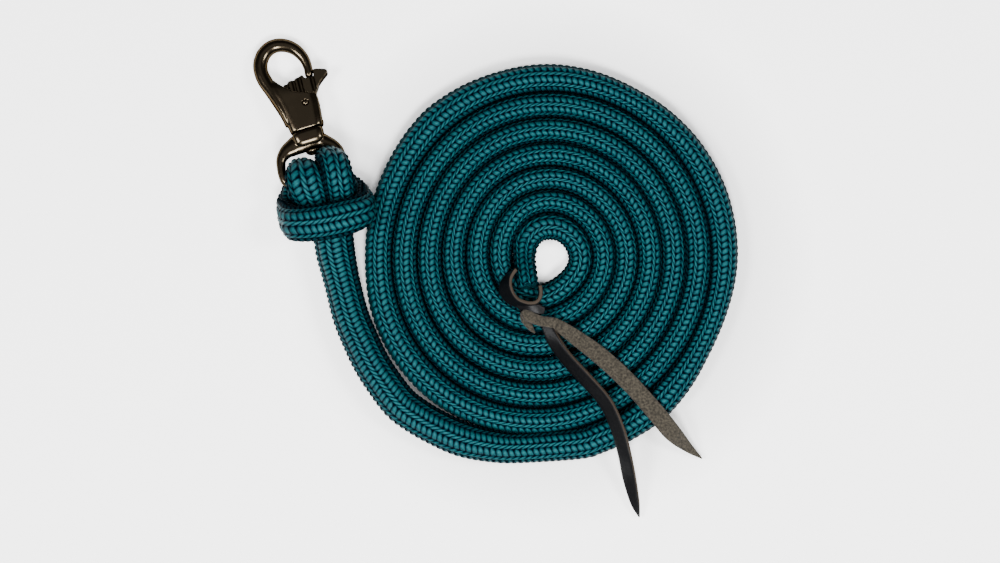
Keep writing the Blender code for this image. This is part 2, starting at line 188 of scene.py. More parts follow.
def sweep(path: Array, half_width: Array | float, half_height: Array | float, sides: int,
          normal: Array = UP, power: float = 2.0, closed: bool = False) -> Array:
    """Rings of a superellipse carried along a path: at angle t a point lies at
    sign(cos t)|cos t|^(2/power) half widths sideways and the same of sine half heights up.

    Args:
        path: centreline rows.
        half_width: half width, one for all rows or one at each.
        half_height: half height, one for all rows or one at each.
        sides: points in a ring.
        normal: up direction, one for all rows or one at each.
        power: 2 is an ellipse, more is squarer.
        closed: the path is a loop.

    Returns:
        Array of ring, point, xyz.
    """
    n, side = across(tangents(path, closed), normal)
    w, h = (np.broadcast_to(half, len(path))[:, None] for half in (half_width, half_height))
    t = np.linspace(0, -2 * np.pi, sides, endpoint=False)
    c, s = (signed_power(wave(t), 2 / power) for wave in (np.cos, np.sin))
    return (path[:, None, :] + c[None, :, None] * (w * side)[:, None, :]
            + s[None, :, None] * (h * n)[:, None, :])


def lathe(profile: Rows, sides: int = 40) -> Shape:
    """Closed turned skin about the Z axis, from a profile of radius and height, low to high."""
    prof = np.asarray(profile, float)
    t = np.linspace(0, 2 * np.pi, sides, endpoint=False)
    rings = np.stack([prof[:, :1] * np.cos(t), prof[:, :1] * np.sin(t),
                      np.repeat(prof[:, 1:], sides, axis=1)], axis=-1)
    return capped_tube(rings)


def transformed(verts: Array, matrix: Matrix) -> Array:
    """Millimetre points moved by a matrix whose translation is in millimetres."""
    m = np.array(matrix)
    return verts @ m[:3, :3].T + m[:3, 3]


def move_mesh(mesh: Mesh, matrix: Matrix) -> None:
    """Move a mesh's points by a matrix whose translation is in millimetres."""
    points = np.empty(len(mesh.vertices) * 3, np.float32)
    mesh.vertices.foreach_get("co", points)
    moved = transformed(points.reshape(-1, 3).astype(float) / MM, matrix) * MM
    mesh.vertices.foreach_set("co", moved.astype(np.float32).ravel())
    mesh.update()


def point_values(mesh: Mesh, name: str, values: Array) -> None:
    """Store one number for each point of a mesh, for a material to read."""
    layer = mesh.attributes.new(name, "FLOAT", "POINT")
    layer.data.foreach_set("value", values.astype(np.float32))


def linked(name: str, data: ID) -> Object:
    """New object of a mesh, a lamp or a camera, in the scene's collection."""
    obj = bpy.data.objects.new(name, data)
    bpy.context.collection.objects.link(obj)
    return obj


# ---- materials

class Nodes:
    """Small helper round one material's node tree."""

    def __init__(self, name: str) -> None:
        """Start an empty Principled material."""
        self.material = bpy.data.materials.new(name)
        self.material.use_nodes = True
        self.tree = self.material.node_tree
        self.bsdf = self.tree.nodes["Principled BSDF"]

    def add(self, kind: str, inputs: dict | None = None, **settings: object) -> Node:
        """Add a node, set its properties, and fill or link its inputs.

        Args:
            kind: the node's type name.
            inputs: values or output sockets, by input name or number.
            settings: properties of the node.

        Returns:
            The new node.
        """
        node = self.tree.nodes.new(kind)
        for key, value in settings.items():
            setattr(node, key, value)
        for key, value in (inputs or {}).items():
            self.feed(node.inputs[key], value)
        return node

    def feed(self, socket: NodeSocket, value: object) -> None:
        """Link an output into a socket, or set the socket's own value; a colour is opaque."""
        if isinstance(value, NodeSocket):
            self.tree.links.new(value, socket)
        elif socket.type == "RGBA":
            socket.default_value = (*value, 1.0)
        else:
            socket.default_value = value

    def math(self, operation: str, a: object, b: object = 0.0, clamp: bool = False) -> object:
        """Output of a Math node."""
        node = self.add("ShaderNodeMath", {0: a, 1: b}, operation=operation, use_clamp=clamp)
        return node.outputs[0]

    def ramp(self, factor: object, stops: Sequence[tuple[float, Sequence[float]]]) -> object:
        """Colour ramp output through the given stops."""
        node = self.add("ShaderNodeValToRGB", {0: factor})
        elements = node.color_ramp.elements
        while len(elements) < len(stops):
            elements.new(0.5)
        for element, (place, colour) in zip(elements, stops):
            element.position = place
            element.color = (*colour, 1.0)
        return node.outputs[0]

    def mix(self, factor: object, a: object, b: object, blend: str = "MIX") -> object:
        """Output of a colour Mix node."""
        node = self.add("ShaderNodeMix", {0: factor, 6: a, 7: b}, data_type="RGBA",
                        blend_type=blend)
        return node.outputs[2]

    def pick(self, switch: object, first: object, second: object) -> object:
        """Output that is first where the switch is 0 and second where it is 1."""
        node = self.add("ShaderNodeMix", {0: switch, 2: first, 3: second}, data_type="FLOAT")
        return node.outputs[0]

    def noise(self, scale: float, detail: float = 2.0) -> object:
        """Noise factor on object coordinates."""
        return self.add("ShaderNodeTexNoise", {"Vector": self.object_coords(), "Scale": scale,
                                               "Detail": detail}).outputs[0]

    def attribute(self, name: str) -> object:
        """Factor of a mesh attribute."""
        return self.add("ShaderNodeAttribute", attribute_name=name).outputs["Fac"]

    def span(self, value: object, low: float, high: float, to_low: float,
             to_high: float) -> object:
        """Value carried from one range to another, clamped at its ends."""
        return self.add("ShaderNodeMapRange", {"Value": value, "From Min": low, "From Max": high,
                                               "To Min": to_low, "To Max": to_high}).outputs[0]

    def surface(self, **inputs: object) -> Material:
        """Fill or link the Principled shader's inputs, with _ for a space, and return the
        finished material."""
        for name, value in inputs.items():
            self.feed(self.bsdf.inputs[name.replace("_", " ")], value)
        return self.material

    def object_coords(self) -> object:
        """Object texture coordinates."""
        return self.add("ShaderNodeTexCoord").outputs["Object"]

    def bump(self, height: object, distance: float, strength: float,
             below: object | None = None) -> object:
        """Bump normal output, stacked on another one if given."""
        under = {} if below is None else {"Normal": below}
        return self.add("ShaderNodeBump", {"Height": height, "Distance": distance,
                                           "Strength": strength, **under}).outputs[0]


@dataclass(frozen=True)
class BraidFinish:
    """Glossy polyester yarn, teal on the crowns of the stitches, with painted shade that darkens
    their flanks and the gaps between them to near black, and painted shade on the rope's sides.

    A wide column of stitches takes up the share split of each pair of columns.
    """
    # crown is the yarn's teal; flank and gap_shade are painted shade down the stitch flanks and in
    # the gaps between stitches.
    crown: Colour = (0.0015, 0.056, 0.060)
    flank: Colour = (0.0001, 0.018, 0.025)
    gap_shade: Colour = (0.0001, 0.0012, 0.0036)
    gloss: Colour = (0.25, 0.8, 0.9)
    level: float = 0.4
    roughness: float = 0.5
    wide_plies: float = 3.0
    thin_plies: float = 2.0
    fuzz_scale: float = 2600.0
    tone_scale: float = 700.0
    patch_scale: float = 38.0
    split: float = 0.62
    lean: float = -0.5

    def build(self) -> Material:
        """Make the material from the stitch map: the whole part of its first column counts column
        pairs, its second counts stitches, and the attribute lean is the zigzag. The attribute
        flank, near one on the rope's sides, sets the painted side shade."""
        n = Nodes("braided_polyester")
        lean, flank = n.attribute("lean"), n.attribute("flank")
        uv = n.add("ShaderNodeUVMap", uv_map="braid_uv").outputs[0]
        parts = n.add("ShaderNodeSeparateXYZ", {0: uv})
        place = n.math("FRACT", parts.outputs[0])
        chain = n.math("GREATER_THAN", place, self.split)
        wide = n.math("DIVIDE", place, self.split)
        thin = n.math("DIVIDE", n.math("SUBTRACT", place, self.split), 1 - self.split)
        across_it = n.pick(chain, wide, thin)
        slide = n.math("MULTIPLY", n.math("ADD", lean, 0.5), self.lean)
        count = n.math("SUBTRACT", parts.outputs[1], slide)
        along = n.math("FRACT", n.math("SUBTRACT", count, n.math("MULTIPLY", thin, chain)))
        ends = [n.math("ABSOLUTE", n.math("SUBTRACT", n.math("MULTIPLY", part, 2.0), 1.0))
                for part in (across_it, along)]
        falls = [self.fall(n, ends, powers, shares) for powers, shares in
                 (((2.6, 2.2), (0.8, 1.0)), ((2.4, 2.4), (0.9, 0.85)))]
        relief = n.math("SUBTRACT", 1.0, n.pick(chain, *falls), clamp=True)
        plies = [n.math("SINE", n.math("MULTIPLY", part, 2 * math.pi * number)) for part, number
                 in ((along, self.wide_plies), (across_it, self.thin_plies))]
        lines = n.pick(chain, *plies)
        wear_and_shade = n.math("MULTIPLY", n.math("SUBTRACT", n.noise(self.tone_scale), 0.5), 1.1)
        wear_and_shade = n.math("ADD", n.math("ADD", relief, wear_and_shade), n.math("MULTIPLY", lines, 0.07),
                      clamp=True)
        # Painted shade: the ramp darkens the yarn from its teal crowns down the flanks to near
        # black in the gaps between stitches, over random tone and ply lines.
        base = n.ramp(wear_and_shade, [(0.12, self.gap_shade), (0.55, self.flank), (1.0, self.crown)])
        shade = n.ramp(n.noise(self.patch_scale), [(0.3, (0.8, 0.84, 0.9)), (0.7, (1.0, 1.0, 1.0))])
        # Painted shade: the colour darkens towards the rope's sides, where the turns press
        # together.
        painted_side_shade = n.ramp(flank, [(0.66, (1.0, 1.0, 1.0)), (0.97, (0.18, 0.22, 0.28))])
        base = n.mix(1.0, n.mix(1.0, base, shade, "MULTIPLY"), painted_side_shade, "MULTIPLY")
        dull = n.math("MULTIPLY", n.math("POWER", flank, 3.0), self.level)
        level = n.math("MULTIPLY", relief, n.math("SUBTRACT", self.level, dull))
        height = n.math("ADD", n.math("MULTIPLY", lines, 0.25),
                        n.math("MULTIPLY", n.noise(self.fuzz_scale), 0.6))
        height = n.math("ADD", height, n.math("MULTIPLY", relief, 1.6))
        return n.surface(Base_Color=base, Roughness=self.roughness, Specular_Tint=self.gloss,
                         Specular_IOR_Level=level, Normal=n.bump(height, 0.0002, 0.8))

    @staticmethod
    def fall(n: Nodes, ends: Sequence[object], powers: Sequence[float],
             shares: Sequence[float]) -> object:
        """How far a stitch has fallen away from its crown: a share of a power of the distance
        to each of its ends, added up."""
        terms = [n.math("MULTIPLY", n.math("POWER", end, power), share)
                 for end, power, share in zip(ends, powers, shares)]
        return n.math("ADD", *terms)


@dataclass(frozen=True)
class MetalFinish:
    """Glossy dark plating over a die casting."""
    name: str = "gunmetal_plating"
    colour: Colour = (0.070, 0.055, 0.036)
    roughness: float = 0.2
    edge: Colour = (0.12, 0.10, 0.08)
    pit_scale: float = 1400.0
    wave_scale: float = 160.0

    def build(self) -> Material:
        """Make the material: slow waviness of the casting, faint pits and a rough haze."""
        n = Nodes(self.name)
        pits = n.noise(self.pit_scale)
        dark = tuple(c * 0.72 for c in self.colour)
        low = n.bump(n.noise(self.wave_scale), 0.0003, 0.22)
        return n.surface(Base_Color=n.mix(n.noise(70.0, 3.0), dark, self.colour), Metallic=1.0,
                         Roughness=n.span(pits, 0.0, 1.0, self.roughness * 0.8,
                                          self.roughness * 1.3),
                         Specular_Tint=self.edge, Normal=n.bump(pits, 0.00004, 0.25, low))


@dataclass(frozen=True)
class LeatherFinish:
    """One side of the popper's leather, with bare brown fibre along cut edges."""
    name: str
    face: Colour
    fleck: Colour
    edge: Colour
    roughness: float = 0.4
    grain_scale: float = 900.0
    grain_depth: float = 0.00012
    sheen: float = 0.0
    gloss: float = 0.5

    def build(self) -> Material:
        """Make the material; the attribute edge marks the cut edges."""
        n = Nodes(self.name)
        edge = n.attribute("edge")
        fine, broad = n.noise(self.grain_scale, 4.0), n.noise(130.0, 3.0)
        body = n.mix(n.ramp(fine, [(0.35, (0, 0, 0)), (0.7, (1, 1, 1))]), self.face, self.fleck)
        cut = n.mix(broad, self.edge, tuple(c * 0.6 for c in self.edge))
        rough = n.math("ADD", n.math("MULTIPLY", edge, 0.4), self.roughness, clamp=True)
        low = n.bump(broad, 0.0006, 0.35)
        return n.surface(Base_Color=n.mix(edge, body, cut), Roughness=rough,
                         Sheen_Weight=self.sheen, Specular_IOR_Level=self.gloss,
                         Normal=n.bump(fine, self.grain_depth, 0.8, low))


GRAIN = LeatherFinish("leather_grain_side", (0.0016, 0.0017, 0.0022), (0.003, 0.003, 0.0034),
                      edge=(0.040, 0.030, 0.022), gloss=0.1)
SUEDE = LeatherFinish("leather_flesh_side", (0.013, 0.011, 0.008), (0.047, 0.040, 0.029),
                      edge=(0.016, 0.012, 0.009), roughness=0.92, grain_scale=800.0,
                      grain_depth=0.0003, sheen=0.1, gloss=0.2)


@dataclass(frozen=True)
class FloorFinish:
    """Plain pale studio floor that glows a little, but not near or under the rope."""
    colour: Colour = (0.9, 0.9, 0.9)
    glow: float = 1.6
    middle: tuple[float, float] = (0.033, 0.010)
    reach: float = 0.105
    eye: float = 0.008

    def build(self) -> Material:
        """Make the material: it glows outside the coil and in the coil's eye."""
        n = Nodes("studio_floor")
        away = n.add("ShaderNodeVectorMath", {0: n.object_coords(), 1: (*self.middle, 0.0)},
                     operation="DISTANCE").outputs["Value"]
        outside = n.span(away, self.reach, self.reach * 1.5, 0.0, self.glow)
        inside = n.span(away, self.eye, self.eye * 1.7, self.glow, 0.0)
        return n.surface(Base_Color=self.colour, Roughness=0.9, Emission_Color=(1.0, 1.0, 1.0),
                         Emission_Strength=n.math("ADD", outside, inside))


# ---- placing pieces

class Side(Enum):
    """The two legs of the spliced eye, left or right of the snap's line."""
    LEFT = -1
    RIGHT = 1


def add_piece(name: str, mesh: Mesh, body: str, material: Material,
              nodes: Sequence[str] = ()) -> Object:
    """Link a finished mesh as a piece that rides a body and stands for CAD nodes.

    Args:
        name: the piece's name.
        mesh: its mesh, in place in the part's frame.
        body: the CAD body it moves with.
        material: its finish.
        nodes: CAD nodes that it replaces.

    Returns:
        The new object.
    """
    obj = linked(name, mesh)
    mesh.materials.clear()
    mesh.materials.append(material)
    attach(obj, body)
    if nodes:
        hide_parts(*nodes)
    LOG.info("%s: %d faces on body %s", name, len(mesh.polygons), body)
    return obj


@dataclass
class Lie:
    """Where the hitch, the bow and the snap lie, as turns about the bow's bar."""
    bar: tuple[float, float, float] = (-105.6, 57.3, 17.2)
    bow_turn: float = 8.5
    bow_tilt: float = 9.2
    seat: float = 29.9
    snap_turn: float = 9.0

    def hitch(self) -> Matrix:
        """Frame of the hitch: X along the bar, Y towards the snap, Z up."""
        return Matrix.Translation(self.bar) @ Matrix.Rotation(math.radians(self.bow_turn), 4, "Z")

    def bow(self) -> Matrix:
        """Frame of the bow, tipped down towards the hook."""
        return self.hitch() @ Matrix.Rotation(math.radians(-self.bow_tilt), 4, "X")

    def snap(self) -> Matrix:
        """Frame of the snap, with Y along the swivel's axis."""
        return (self.bow() @ Matrix.Translation((0, self.seat, 0))
                @ Matrix.Rotation(math.radians(self.snap_turn), 4, "Z"))


# ---- rope

@dataclass
class Braid:
    """Braided cover of seven pairs of stitch columns, laid over any route.

    Wide columns hold plump stitches that lean one way; the narrow ones between them lean back,
    so each row of points runs in a zigzag round the rope.
    """
    pairs: int = 7
    rows_per_stitch: int = 3
    depth: float = 0.95
    chain_depth: float = 0.6
    lean: float = -0.5
    places: tuple[float, ...] = (0.0, 0.14, 0.31, 0.48, 0.62, 0.81)
    crowns: tuple[float, ...] = (0.0, 0.78, 1.0, 0.78, 0.0, 1.0)
    chains: tuple[float, ...] = (0.0, 0.0, 0.0, 0.0, 0.0, 1.0)
    chain_rise: float = 0.35
    # bare_share eases the painted side shade on the open outward side of the outer turn.
    bare_share: float = 0.13

    def build(self, name: str, path: Array, half_width: Array, half_height: Array,
              normal: Array, pitch: Array, twist: Array | float = 0.0,
              free: Array | float = 0.0) -> Mesh:
        """Skin a route with stitches.

        A point at row r and column place c lies at the station where the count of stitches is
        r / rows_per_stitch plus a triangle wave of c, on an ellipse of the local half width and
        half height, sunk by depth times one less the stitch's relief.

        Args:
            name: the mesh's name.
            path: dense centreline rows.
            half_width: sideways half width at each row.
            half_height: half height at each row.
            normal: up direction, one for all rows or one at each.
            pitch: stitch length at each row.
            twist: turn of the columns about the centreline at each row, in radians.
            free: how open the rope's outward side is at each row, from 0 to 1; it eases the painted
                side shade there.

        Returns:
            The mesh, with attributes lean and flank and the map braid_uv; flank sets the painted
            side shade in the braid's material.
        """
        station = arc_length(path)
        count = np.concatenate([[0.0], np.cumsum(np.diff(station)
                                                 / (0.5 * (pitch[1:] + pitch[:-1])))])
        n, side = across(tangents(path), normal)
        twist, free = (np.broadcast_to(value, len(path)) for value in (twist, free))
        places, crown, chain = (np.tile(column, self.pairs)
                                for column in (self.places, self.crowns, self.chains))
        turn = np.arange(self.pairs).repeat(len(self.places)) + places
        split = self.places[4]
        wave = np.where(places <= split, places / split, (1 - places) / (1 - split)) - 0.5
        slide = self.lean * (0.5 + wave[None, :])
        total = int((count[-1] - abs(self.lean)) * self.rows_per_stitch)
        rows = np.arange(total + 1)
        wanted = rows[:, None] / self.rows_per_stitch + slide - min(self.lean, 0.0)
        s = np.interp(wanted, count, station)
        rise = np.where(rows % self.rows_per_stitch == 0, 0.0, 1.0)[:, None]
        plump = crown[None, :] * (rise * (1 - self.chain_rise * chain) + self.chain_rise * chain)
        sink = (self.depth * (1 - chain) + self.chain_depth * chain)[None, :] * (1 - plump)
        middle, up, out = (interp_rows(s, station, line) for line in (path, n, side))
        w, h = (np.interp(s, station, half) - sink for half in (half_width, half_height))
        t = 2 * np.pi * turn[None, :] / self.pairs + np.interp(s, station, twist)
        rings = (middle + (w * np.cos(t))[..., None] * out + (h * np.sin(t))[..., None] * up)
        verts, quads, tris = capped_tube(rings)
        mesh = make_mesh(name, verts, quads[:, ::-1], tris[:, ::-1])
        # flank is how far round to the rope's side a point lies; the braid's material turns it into
        # painted side shade, eased by bare_share on the open outward side.
        bare = np.interp(s, station, free) * (np.cos(t) > 0)
        flank = np.abs(np.cos(t)) * (1 - self.bare_share * bare)
        point_values(mesh, "lean", self.with_caps(wave, wanted.shape))
        point_values(mesh, "flank", self.with_caps(flank, wanted.shape))
        self.map_stitches(mesh, turn, wanted)
        return mesh

    @staticmethod
    def with_caps(values: Array, shape: tuple[int, ...]) -> Array:
        """Values for every grid point, then zeros for the middles of the two end caps."""
        return np.concatenate([np.broadcast_to(values, shape).ravel(), np.zeros(2)])

    def map_stitches(self, mesh: Mesh, turn: Array, wanted: Array) -> None:
        """Store the stitch map on the mesh's corners.

        Args:
            mesh: the braid's mesh.
            turn: column place round the rope, in pairs.
            wanted: stitch count at each grid point.
        """
        index = np.empty(len(mesh.loops), np.int32)
        mesh.loops.foreach_get("vertex_index", index)
        u, v = (self.with_caps(values, wanted.shape)[index] for values in (turn, wanted))
        uv = mesh.uv_layers.new(name="braid_uv")
        uv.data.foreach_set("uv", np.stack([u, v], 1).astype(np.float32).ravel())


@dataclass
class Lead:
    """The rope from the throat of the hitch, through the thick splice, to its inner end.

    Turns of the coil are counted from its lowest point, straight below its centre.
    """
    rope_r: float = 7.15
    coil_centre: tuple[float, float] = (32.8, 10.2)
    first_turn: float = 0.03 - 8.0 / 360.0
    last_turn: float = 6.66
    points_per_turn: int = 60
    steps: int = 8
    stitch: float = 3.7
    half_outer: float = 8.05
    half_fall: float = 0.165
    first_twist: float = -0.35
    twist_swing: float = 0.9
    twist_reach: float = 410.0
    splice_rows: int = 16
    cover_rows: float = 60.0
    braid: Braid = field(default_factory=Braid)

    def lay_radius(self, angle: Array, n: Array) -> Array:
        """Centreline radius of the turns: a closing spiral with the oval drift of a hand coil."""
        return (110.0 - 15.33 * n + 0.165 * n * n
                + (0.19 * n - 4.03) * np.cos(angle) + (0.21 * n + 2.83) * np.sin(angle)
                + (0.18 * n - 1.43) * np.cos(2 * angle) + (1.26 - 0.11 * n) * np.sin(2 * angle)
                + 0.45 * np.cos(3 * angle) - 0.29 * np.sin(3 * angle))

    def coil(self) -> Array:
        """Rows of the turns: x, y, z, half width, half height, stitch.

        The innermost turn is fatter and sits further in, and the outermost one swells here and
        there.
        """
        count = int((self.last_turn - self.first_turn) * self.points_per_turn)
        n = np.linspace(self.first_turn, self.last_turn, count)
        angle = np.radians(270.0 + 360.0 * n)
        r = self.lay_radius(angle, n)
        fat = np.interp(n, *zip((5.75, 0.0), (6.0, 0.8), (6.25, 0.55), (6.4, 1.1), (6.5, 1.5),
                                (6.66, 1.0)))
        swell = np.interp(n, *zip((-0.03, 1.3), (0.1, 1.7), (0.135, 0.5), (0.165, -0.6),
                                  (0.2, -0.6), (0.25, 0.3), (0.31, 0.6), (0.36, 0.45),
                                  (0.43, -0.3), (0.5, 0.55), (0.55, 0.6), (0.61, 1.5), (0.67, 0.7),
                                  (0.75, 0.3), (0.8, 1.0), (0.9, 0.9), (1.0, 0.3), (1.06, 0.0)))
        half = self.half_outer - self.half_fall * n + fat + swell
        r = r - fat + swell
        same = np.ones(count)
        return np.stack([self.coil_centre[0] + r * np.cos(angle),
                         self.coil_centre[1] + r * np.sin(angle), self.rope_r * same, half,
                         self.rope_r * same, self.stitch * same], axis=1)

    def route(self) -> Array:
        """Control rows of the whole lead, from the throat inwards."""
        splice = [(-95.8, 33.6, 13.6, 9.8, 8.6, 3.1), (-94.7, 27.1, 13.4, 11.8, 9.6, 3.1),
                  (-94.0, 20.0, 12.6, 11.9, 10.4, 3.1), (-93.0, 13.0, 11.7, 11.7, 10.6, 3.1),
                  (-91.2, 4.6, 10.9, 11.1, 10.5, 3.1), (-88.7, -6.0, 10.6, 10.8, 10.4, 3.1),
                  (-84.6, -22.0, 10.5, 10.9, 10.4, 3.1), (-79.6, -34.5, 10.5, 11.0, 10.4, 3.1),
                  (-73.5, -47.6, 10.4, 11.0, 10.3, 3.15), (-66.4, -59.2, 10.3, 11.0, 10.2, 3.2),
                  (-56.3, -72.5, 10.1, 11.1, 10.0, 3.2), (-46.5, -80.2, 9.9, 11.0, 9.8, 3.3),
                  (-34.4, -87.3, 9.7, 10.9, 9.6, 3.35), (-19.5, -94.0, 9.3, 10.8, 9.2, 3.4),
                  (-2.4, -98.1, 8.5, 10.0, 8.4, 3.5), (14.4, -99.3, 7.5, 9.3, 7.4, 3.65)]
        end = [(17.2, 12.4, 9.4, 6.9, 6.9, 3.7), (17.9, 4.8, 13.6, 6.8, 6.7, 3.7),
               (18.8, -1.4, 16.9, 6.6, 6.5, 3.7), (19.6, -6.0, 18.6, 6.2, 6.0, 3.6)]
        return np.vstack([np.array(splice), self.coil()[1:], np.array(end)])

    def make(self, material: Material) -> Object:
        """Args:
            material: the braid's finish.

        Returns:
            The rope's object.
        """
        rows = spline(self.route(), self.steps)
        path = rows[:, :3]
        twist = (self.first_twist
                 + self.twist_swing * np.sin(arc_length(path) / self.twist_reach))
        outer = self.steps * (self.splice_rows + self.points_per_turn)
        free = np.clip((outer - np.arange(len(path))) / self.cover_rows, 0.0, 1.0)
        mesh = self.braid.build("lead_rope", path, rows[:, 3], rows[:, 4], UP, rows[:, 5],
                                twist, free)
        obj = add_piece("lead_rope", mesh, "rope", material,
                        ["rope_coil", "rope_splice"])
        return obj


@dataclass
class Hitch:
    """The long spliced eye, cow-hitched round the bow's bar: two legs in front, one band over."""
    lie: Lie
    stitch: float = 3.3
    braid: Braid = field(default_factory=Braid)

    def leg(self, side: Side) -> list[tuple[float, ...]]:
        """Control rows of one half, from the throat to the middle of the band.

        Each row is x, y, z, half width, half thickness, then the outward direction, in the
        hitch's frame with heights above the floor.
        """
        if side is Side.LEFT:
            return [(2.0, -30.0, 12.4, 6.6, 6.6, 0, 0, 1), (1.0, -23.0, 14.2, 6.8, 6.4, 0, 0, 1),
                    (-0.4, -16.6, 17.2, 7.8, 6.0, 0, -0.3, 1),
                    (-2.4, -10.2, 21.4, 10.6, 5.7, 0, -0.5, 1),
                    (-4.0, -3.8, 25.0, 11.9, 5.6, 0, -0.3, 1),
                    (-4.7, 1.8, 26.0, 11.8, 5.6, 0, 0.3, 1),
                    (-5.2, 6.8, 23.8, 10.2, 5.8, 0, 0.8, 0.6),
                    (-6.6, 8.6, 17.4, 8.0, 6.1, 0, 1, 0),
                    (-8.0, 6.2, 9.4, 7.6, 6.4, 0, 0.7, -0.7),
                    (-10.6, 0.0, 7.1, 8.2, 6.6, 0, 0, -1), (-13.4, -7.0, 7.2, 8.8, 6.8, 0, 0, -1),
                    (-16.6, -12.6, 8.8, 9.2, 6.9, -0.5, 0.1, -0.9),
                    (-18.0, -17.0, 13.0, 10.0, 6.6, -0.9, 0.1, -0.4),
                    (-17.9, -20.6, 19.0, 10.3, 6.4, -1, 0, 0.1),
                    (-15.0, -23.4, 25.2, 10.4, 6.4, -0.7, 0, 0.7),
                    (-8.0, -24.8, 28.8, 10.7, 6.2, -0.2, 0, 1)]
        return [(9.0, -30.0, 12.4, 7.0, 6.6, 0, 0, 1), (12.6, -23.0, 14.2, 7.4, 6.4, 0, 0, 1),
                (14.0, -16.4, 16.8, 8.4, 6.2, 0, -0.3, 1),
                (14.7, -9.8, 21.4, 8.8, 6.0, 0.1, -0.5, 1),
                (15.0, -3.4, 25.4, 9.2, 5.9, 0.1, -0.3, 1),
                (14.8, 3.0, 26.8, 9.0, 5.8, 0.1, 0.3, 1),
                (13.6, 9.4, 24.8, 9.0, 6.0, 0.1, 0.8, 0.6),
                (10.2, 12.6, 19.6, 7.6, 6.2, 0, 1, 0.1), (8.4, 9.4, 10.8, 7.0, 6.4, 0, 0.8, -0.6),
                (11.0, 1.6, 7.1, 7.8, 6.6, 0, 0, -1), (17.4, -5.4, 7.3, 8.6, 6.8, 0, 0, -1),
                (22.9, -11.4, 9.2, 9.2, 6.9, 0.5, 0.1, -0.9),
                (26.3, -15.8, 13.6, 9.4, 6.8, 0.9, 0.1, -0.4),
                (27.4, -19.6, 19.4, 9.8, 6.6, 1, 0, 0.1),
                (24.6, -22.4, 25.4, 10.2, 6.4, 0.7, 0, 0.7),
                (16.0, -24.2, 28.9, 10.9, 6.2, 0.2, 0, 1)]

    def make(self, material: Material) -> Object:
        """Build the eye as one braided tube.

        Args:
            material: the braid's finish.

        Returns:
            The eye's object.
        """
        middle = [(4.0, -25.2, 29.6, 11.0, 6.2, 0, 0, 1)]
        rows = spline(self.leg(Side.LEFT) + middle + self.leg(Side.RIGHT)[::-1], 12)
        path = transformed(rows[:, :3] - [0, 0, self.lie.bar[2]], self.lie.hitch())
        normal = rows[:, 5:8] @ np.array(self.lie.hitch())[:3, :3].T
        mesh = self.braid.build("rope_eye_loop", path, rows[:, 3], rows[:, 4], normal,
                                np.full(len(path), self.stitch))
        return add_piece("rope_eye_loop", mesh, "rope", material, ["rope_eye"])


# ---- metal

def apply_modifiers(obj: Object) -> Mesh:
    """The object's mesh with its modifiers worked in; the object is removed."""
    graph = bpy.context.evaluated_depsgraph_get()
    mesh = bpy.data.meshes.new_from_object(obj.evaluated_get(graph))
    mesh.name = obj.name
    bpy.data.objects.remove(obj, do_unlink=True)
    return mesh


def scratch(name: str, verts: Array, quads: Array, tris: Array | None = None) -> Object:
    """Unfinished shape used to add to or cut from another."""
    return linked(name, make_mesh(name, verts, quads, tris))


def combine(base: Object, tool: Object, operation: str) -> None:
    """Add a Boolean of the tool to the base, by the exact solver."""
    mod = base.modifiers.new(tool.name, "BOOLEAN")
    mod.operation = operation
    mod.solver = "EXACT"
    mod.object = tool


def plate(outline: Rows, low: float, high: float) -> Shape:
    """Closed plate: an outline carried from one height to another, its two faces cut into
    triangles.

    Args:
        outline: corner rows, anticlockwise.
        low: lower height.
        high: upper height.

    Returns:
        Vertices, quads and triangles.
    """
    flat = np.asarray(outline, float)
    count = len(flat)
    verts = np.vstack([np.column_stack([flat, np.full(count, z)]) for z in (low, high)])
    caps = np.array(tessellate_polygon([[Vector((*corner, 0.0)) for corner in outline]]))
    a, b, c = flat[caps[:, 0]], flat[caps[:, 1]], flat[caps[:, 2]]
    turn = (b[:, 0] - a[:, 0]) * (c[:, 1] - a[:, 1]) - (b[:, 1] - a[:, 1]) * (c[:, 0] - a[:, 0])
    up = np.where(turn[:, None] > 0, caps, caps[:, ::-1])
    return verts, grid_faces(2, count), np.vstack([up[:, ::-1], up + count])


def fuse(base: Object, others: Sequence[Object], cuts: Sequence[Object], voxel: float,
         smooth: int) -> Mesh:
    """Join shapes, cut others away, and round every edge as a casting is.

    Args:
        base: the first shape.
        others: shapes to add.
        cuts: shapes to take away.
        voxel: remesh size in millimetres.
        smooth: smoothing passes.

    Returns:
        One closed mesh.
    """
    for tool, operation in [(o, "UNION") for o in others] + [(c, "DIFFERENCE") for c in cuts]:
        combine(base, tool, operation)
    remesh = base.modifiers.new("cast", "REMESH")
    remesh.mode = "VOXEL"
    remesh.voxel_size = voxel * MM
    remesh.use_smooth_shade = True
    soft = base.modifiers.new("soft", "SMOOTH")
    soft.factor = 0.5
    soft.iterations = smooth
    mesh = apply_modifiers(base)
    for tool in list(others) + list(cuts):
        bpy.data.objects.remove(tool, do_unlink=True)
    mesh.polygons.foreach_set("use_smooth", np.ones(len(mesh.polygons), bool))
    return mesh


def drill(start: Sequence[float], end: Sequence[float], radius: float, sides: int = 32) -> Shape:
    """Cylinder between two points."""
    path = np.array([start, end], float)
    upright = abs(unit(path[1] - path[0])[2]) > 0.9
    square_to_it = np.array([1.0, 0.0, 0.0]) if upright else UP
    return capped_tube(sweep(path, radius, radius, sides, square_to_it))


